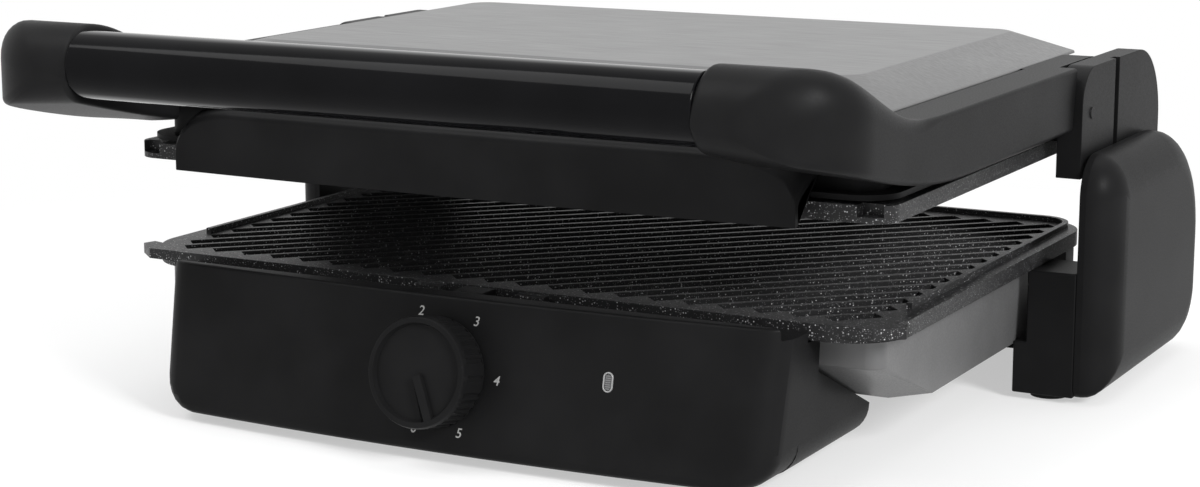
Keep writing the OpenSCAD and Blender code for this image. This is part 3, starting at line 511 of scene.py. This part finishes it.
# Disc in the knob's recess: height of the recess's floor above the face, radius, thickness, rings and sides
FLOOR_OUT, DISC_RADIUS, DISC_THICK, DISC_RINGS, DISC_SIDES = 13.8, 15.8, 0.16, 8, 72
RING_PITCH, RING_WIDTH, RING_DEPTH = 1.9, 0.5, 0.06
# The disc's chamfer, and how far its side reaches below the recess's floor
DISC_CHAMFER, DISC_SUNK = 0.1, 0.3
# Where each numeral stands, in degrees clockwise from the top,
# and the share of the font's size that a numeral's height takes
NUMERAL_TURNS = {"0": 203, "1": 270, "2": 334, "3": 34, "4": 92, "5": 155}
NUMERAL_SHARE = 0.7
# The print's half thickness and what is added round its strokes, in metres, and its slant
PRINT_HALF, PRINT_WEIGHT, PRINT_SLANT = 0.00006, 0.00002, 0.2


def face_back(x, z, lean):
    """Distance back of the housing's face, in millimetres."""
    return -FACE_OUT + x * x / (2 * BOW_RADIUS) - math.tan(lean) * (FACE_TOP - z)


def numeral_mesh(sizes):
    """The numerals round the dial, a thin print on the leaning face."""
    shape = bmesh.new()
    lean = sizes.face_lean
    turn = Matrix.Rotation(math.pi / 2 - lean, 4, "X")
    for text, clockwise in NUMERAL_TURNS.items():
        curve = bpy.data.curves.new("numeral", "FONT")
        curve.body = text
        curve.size = sizes.numeral_height / NUMERAL_SHARE
        curve.align_x = "CENTER"
        curve.align_y = "CENTER"
        curve.extrude = PRINT_HALF
        curve.shear = PRINT_SLANT
        curve.offset = PRINT_WEIGHT
        holder = bpy.data.objects.new("numeral", curve)
        bpy.context.scene.collection.objects.link(holder)
        mesh = bpy.data.meshes.new_from_object(holder.evaluated_get(bpy.context.evaluated_depsgraph_get()))
        bpy.data.objects.remove(holder)
        angle = math.radians(clockwise)
        x = sizes.numeral_circle * math.sin(angle)
        up = sizes.numeral_circle * math.cos(angle)
        z = DIAL_Z * MM + up * math.cos(lean)
        mm_x, mm_z = x / MM, z / MM
        spot = place(mm_x, face_back(mm_x, mm_z, lean), mm_z)
        mesh.transform(Matrix.Translation(spot) @ turn)
        shape.from_mesh(mesh)
        bpy.data.meshes.remove(mesh)
    return made(shape, "numerals")


def dial_face_mesh(sizes):
    """The black disc with fine turned rings on the floor of the knob's recess."""
    shape = bmesh.new()
    surface = FLOOR_OUT + DISC_THICK
    profile = []
    for k in range(1, DISC_RINGS + 1):
        r = k * RING_PITCH
        profile += [(r - RING_WIDTH, surface), (r - RING_WIDTH / 2, surface - RING_DEPTH), (r, surface)]
    edge = DISC_RADIUS + DISC_CHAMFER
    profile += [(DISC_RADIUS, surface), (edge, surface - DISC_CHAMFER), (edge, FLOOR_OUT - DISC_SUNK)]
    lean = sizes.face_lean
    middle = place(0, face_back(0, DIAL_Z, lean), DIAL_Z)
    outward = Vector((0, -math.cos(lean), math.sin(lean)))
    upward = Vector((0, math.sin(lean), math.cos(lean)))
    across = Vector((1, 0, 0))
    rows = []
    for r, out in profile:
        row = []
        for k in range(DISC_SIDES):
            a = 2 * math.pi * k / DISC_SIDES
            point = outward * out + across * r * math.cos(a) + upward * r * math.sin(a)
            row.append(shape.verts.new(middle + point * MM))
        rows.append(row)
    for near, far in zip(rows, rows[1:]):
        for k in range(DISC_SIDES):
            after = (k + 1) % DISC_SIDES
            shape.faces.new((near[k], near[after], far[after], far[k]))
    shape.faces.new(rows[0])
    shape.faces.new(rows[-1])
    bmesh.ops.recalc_face_normals(shape, faces=shape.faces)
    mesh = made(shape, "dial_face")
    mesh.shade_smooth()
    mesh.set_sharp_from_angle(angle=math.radians(35))
    return mesh


# Operators


class PieceOperator:
    """What the operators that build pieces share."""

    bl_options = {"REGISTER", "UNDO"}

    def execute(self, context):
        self.build(context.scene.grill_sizes)
        return {"FINISHED"}


class GRILL_OT_materials(bpy.types.Operator):
    """Makes the finishes, and gives every CAD node its own"""

    bl_idname = "grill.materials"
    bl_label = "Materials"

    def execute(self, context):
        build_materials(context.scene.grill_looks)
        # The pan's steel is painted grey, and every other slot's look has the slot's own name
        looks = {"pan_steel": "pan_grey"}
        for entry in frame["record"]["subparts"]:
            slot = entry["material_slot"]
            mesh = frame["nodes"][entry["node"]].data
            mesh.materials.clear()
            mesh.materials.append(bpy.data.materials[looks.get(slot, slot) + "_finish"])
        return {"FINISHED"}


class GRILL_OT_housing(PieceOperator, bpy.types.Operator):
    """Builds the front housing, its cover and the pan"""

    bl_idname = "grill.housing"
    bl_label = "Housing"

    def build(self, sizes):
        moulded("front_housing", "base", width=sizes.edge_round, segments=3, angle=40)
        moulded("base_cover", "base", width=0.0003)
        refined("base_pan", "pan_grey", "base", "pan_steel", width=0.0003, smooth=50)
        moulded("rear_beam", "base", width=0.0006)


class GRILL_OT_plates(PieceOperator, bpy.types.Operator):
    """Builds the two cast grill plates"""

    bl_idname = "grill.plates"
    bl_label = "Grill plates"

    def build(self, sizes):
        for node, body in (("lower_plate", "base"), ("upper_plate", "lid")):
            refined(node, "coated_plate", body, "coated_plate", width=0.0004, flat=0)


class GRILL_OT_dial(PieceOperator, bpy.types.Operator):
    """Builds the dial with its numerals, and the indicator"""

    bl_idname = "grill.dial"
    bl_label = "Dial and indicator"

    def build(self, sizes):
        moulded("knob", "dial", width=0.0003, angle=28)
        settle(dial_face_mesh(sizes), "dial_face", "dial_disc", "dial")
        settle(numeral_mesh(sizes), "dial_numerals", "numeral_paint", "base")
        refined("indicator_bezel", "ring_plastic", "base", "ring_plastic", width=0.0002)
        refined("indicator_lens", "lens_plastic", "base", "lens_plastic", width=0.0003)


class GRILL_OT_pods(PieceOperator, bpy.types.Operator):
    """Builds the pods at the rear and the blocks that carry them"""

    bl_idname = "grill.pods"
    bl_label = "Pods"

    def build(self, sizes):
        for side in ("left", "right"):
            moulded("pod_" + side, "base", width=sizes.edge_round, segments=3, angle=40, smooth=30)
            moulded("pod_block_" + side, "base", width=0.0006)


class GRILL_OT_carriage(PieceOperator, bpy.types.Operator):
    """Builds the two cheeks and the bar that joins them"""

    bl_idname = "grill.carriage"
    bl_label = "Carriage"

    def build(self, sizes):
        for side in ("left", "right"):
            moulded("cheek_" + side, "carriage", width=0.0008, segments=3)
        moulded("tie_bar", "carriage", width=0.0008, segments=3)


class GRILL_OT_lid(PieceOperator, bpy.types.Operator):
    """Builds the lid's steel cover, its liner and the skirt in front"""

    bl_idname = "grill.lid"
    bl_label = "Lid"

    def build(self, sizes):
        refined("lid_cover", "lid_steel", "lid", "lid_steel",
                width=sizes.sheet_round, segments=4, angle=9, smooth=30)
        moulded("lid_liner", "lid", width=0.0004)
        moulded("front_skirt", "lid", width=0.0006, segments=3)


class GRILL_OT_arms(PieceOperator, bpy.types.Operator):
    """Builds the two arms with their big round caps"""

    bl_idname = "grill.arms"
    bl_label = "Arms"

    def build(self, sizes):
        right = worked(arm_mesh(sizes), width=0.0012, segments=3, angle=40, smooth=38)
        left = mirrored(right)
        for side, mesh in (("right", right), ("left", left)):
            settle(mesh, "arm_" + side + "_shape", "black_plastic", "lid",
                   ("arm_" + side, "cap_" + side))


class GRILL_OT_handle(PieceOperator, bpy.types.Operator):
    """Builds the handle tube"""

    bl_idname = "grill.handle"
    bl_label = "Handle"

    def build(self, sizes):
        refined("handle_tube", "gloss_black", "lid", "gloss_black", width=0.0004)


class GRILL_OT_catches(PieceOperator, bpy.types.Operator):
    """Builds the catches that hold the plates"""

    bl_idname = "grill.catches"
    bl_label = "Plate catches"

    def build(self, sizes):
        moulded("lower_latch", "lower_catch", width=0.0004)
        moulded("upper_latch", "upper_catch", width=0.0004)


# The photograph's view, fitted to the object's parallel edges, and the point that the lamps face
CAMERA_SPOT = Vector((0.439798, -0.833655, 0.236938))
CAMERA_AIM = Vector((-0.46215, 0.86614, -0.19031))
LAMP_TARGET = Vector((0, 0, 0.06))


def turned_to(direction):
    """The rotation that makes a camera or a lamp face a direction."""
    return direction.to_track_quat("-Z", "Y").to_euler()


class GRILL_OT_stage(bpy.types.Operator):
    """Makes the camera, the lamps, the world and the floor"""

    bl_idname = "grill.stage"
    bl_label = "Stage"

    def execute(self, context):
        scene, stage = context.scene, context.scene.grill_stage
        scene.view_settings.view_transform = "Standard"
        camera = bpy.data.objects.new("camera", bpy.data.cameras.new("camera"))
        scene.collection.objects.link(camera)
        camera.data.lens = stage.lens_mm
        camera.data.sensor_width = 36
        camera.data.sensor_fit = "HORIZONTAL"
        camera.data.dof.use_dof = False
        camera.location = CAMERA_SPOT
        camera.rotation_euler = turned_to(CAMERA_AIM)
        scene.camera = camera
        for name, spot, width, height, power in (
                ("key_lamp", (-0.8, -0.9, 1.9), 1.4, 1.0, stage.key_power),
                ("side_lamp", (1.5, -0.72, 0.95), 0.5, 0.5, stage.side_power),
                ("top_lamp", (0.1, 0.5, 2.0), 1.6, 1.2, stage.top_power)):
            lamp = bpy.data.lights.new(name, "AREA")
            lamp.shape = "RECTANGLE"
            lamp.size, lamp.size_y, lamp.energy = width, height, power
            holder = bpy.data.objects.new(name, lamp)
            holder.location = spot
            holder.rotation_euler = turned_to(LAMP_TARGET - Vector(spot))
            scene.collection.objects.link(holder)
        self.make_world(scene, stage)
        self.make_floor(scene, stage)
        return {"FINISHED"}

    def seen(self, tree):
        """A factor of 1 for rays from the camera, reflections and glass."""
        path = tree.nodes.new("ShaderNodeLightPath")
        total = path.outputs["Is Camera Ray"]
        for name in ("Is Glossy Ray", "Is Transmission Ray"):
            step = tree.nodes.new("ShaderNodeMath")
            step.operation = "MAXIMUM"
            tree.links.new(total, step.inputs[0])
            tree.links.new(path.outputs[name], step.inputs[1])
            total = step.outputs["Value"]
        return total

    def make_world(self, scene, stage):
        world = bpy.data.worlds.new("studio")
        scene.world = world
        world.use_nodes = True
        tree = world.node_tree
        light = tree.nodes["Background"]
        light.inputs["Color"].default_value = (1, 1, 1, 1)
        light.inputs["Strength"].default_value = stage.ambient
        white = tree.nodes.new("ShaderNodeBackground")
        white.inputs["Color"].default_value = (1, 1, 1, 1)
        white.inputs["Strength"].default_value = 1
        mix = tree.nodes.new("ShaderNodeMixShader")
        tree.links.new(self.seen(tree), mix.inputs[0])
        tree.links.new(light.outputs[0], mix.inputs[1])
        tree.links.new(white.outputs[0], mix.inputs[2])
        tree.links.new(mix.outputs[0], tree.nodes["World Output"].inputs["Surface"])

    def make_floor(self, scene, stage):
        shape = bmesh.new()
        bmesh.ops.create_grid(shape, x_segments=8, y_segments=8, size=4)
        mesh = made(shape, "floor")
        floor = bpy.data.objects.new("floor", mesh)
        scene.collection.objects.link(floor)
        look = finish_look(
            "floor_paper", stage.floor, 0.9, tint=0.01, patch=4, grain=300, bump=0.0, specular=0.1)
        mesh.materials.append(look)
        tree = look.node_tree
        coords = object_coords(tree)
        far = tree.nodes.new("ShaderNodeVectorMath")
        far.operation = "LENGTH"
        tree.links.new(coords, far.inputs[0])
        fade = spread(tree, far.outputs["Value"], 0.5, 1, 0.2, 0.5)
        factor = multiplied(tree, fade, self.seen(tree))
        white = tree.nodes.new("ShaderNodeEmission")
        white.inputs["Strength"].default_value = 1
        mix = tree.nodes.new("ShaderNodeMixShader")
        tree.links.new(factor, mix.inputs[0])
        tree.links.new(tree.nodes["Principled BSDF"].outputs[0], mix.inputs[1])
        tree.links.new(white.outputs[0], mix.inputs[2])
        tree.links.new(mix.outputs[0], tree.nodes["Material Output"].inputs["Surface"])


PIECES = (
    GRILL_OT_materials, GRILL_OT_housing, GRILL_OT_plates, GRILL_OT_dial, GRILL_OT_pods, GRILL_OT_carriage,
    GRILL_OT_lid, GRILL_OT_arms, GRILL_OT_handle, GRILL_OT_catches, GRILL_OT_stage)


class GRILL_PT_panel(bpy.types.Panel):
    """The steps that build the grill's looks"""

    bl_label = "Indoor grill"
    bl_space_type = "VIEW_3D"
    bl_region_type = "UI"
    bl_category = "Grill"

    def draw(self, context):
        for group in (context.scene.grill_sizes, context.scene.grill_looks, context.scene.grill_stage):
            box = self.layout.box()
            for name in group.bl_rna.properties.keys():
                if name not in ("rna_type", "name"):
                    box.prop(group, name)
        for piece in PIECES:
            self.layout.operator(piece.bl_idname)


GROUPS = {"grill_sizes": GrillSizes, "grill_looks": GrillLooks, "grill_stage": GrillStage}


def register():
    for name, group in GROUPS.items():
        bpy.utils.register_class(group)
        setattr(bpy.types.Scene, name, bpy.props.PointerProperty(type=group))
    for piece in PIECES:
        bpy.utils.register_class(piece)
    bpy.utils.register_class(GRILL_PT_panel)


def unregister():
    bpy.utils.unregister_class(GRILL_PT_panel)
    for piece in reversed(PIECES):
        bpy.utils.unregister_class(piece)
    for name, group in GROUPS.items():
        delattr(bpy.types.Scene, name)
        bpy.utils.unregister_class(group)


def main():
    register()
    bpy.ops.grill.materials()
    bpy.ops.grill.housing()
    bpy.ops.grill.plates()
    bpy.ops.grill.dial()
    bpy.ops.grill.pods()
    bpy.ops.grill.carriage()
    bpy.ops.grill.lid()
    bpy.ops.grill.arms()
    bpy.ops.grill.handle()
    bpy.ops.grill.catches()
    bpy.ops.grill.stage()


if __name__ == "__main__":
    main()
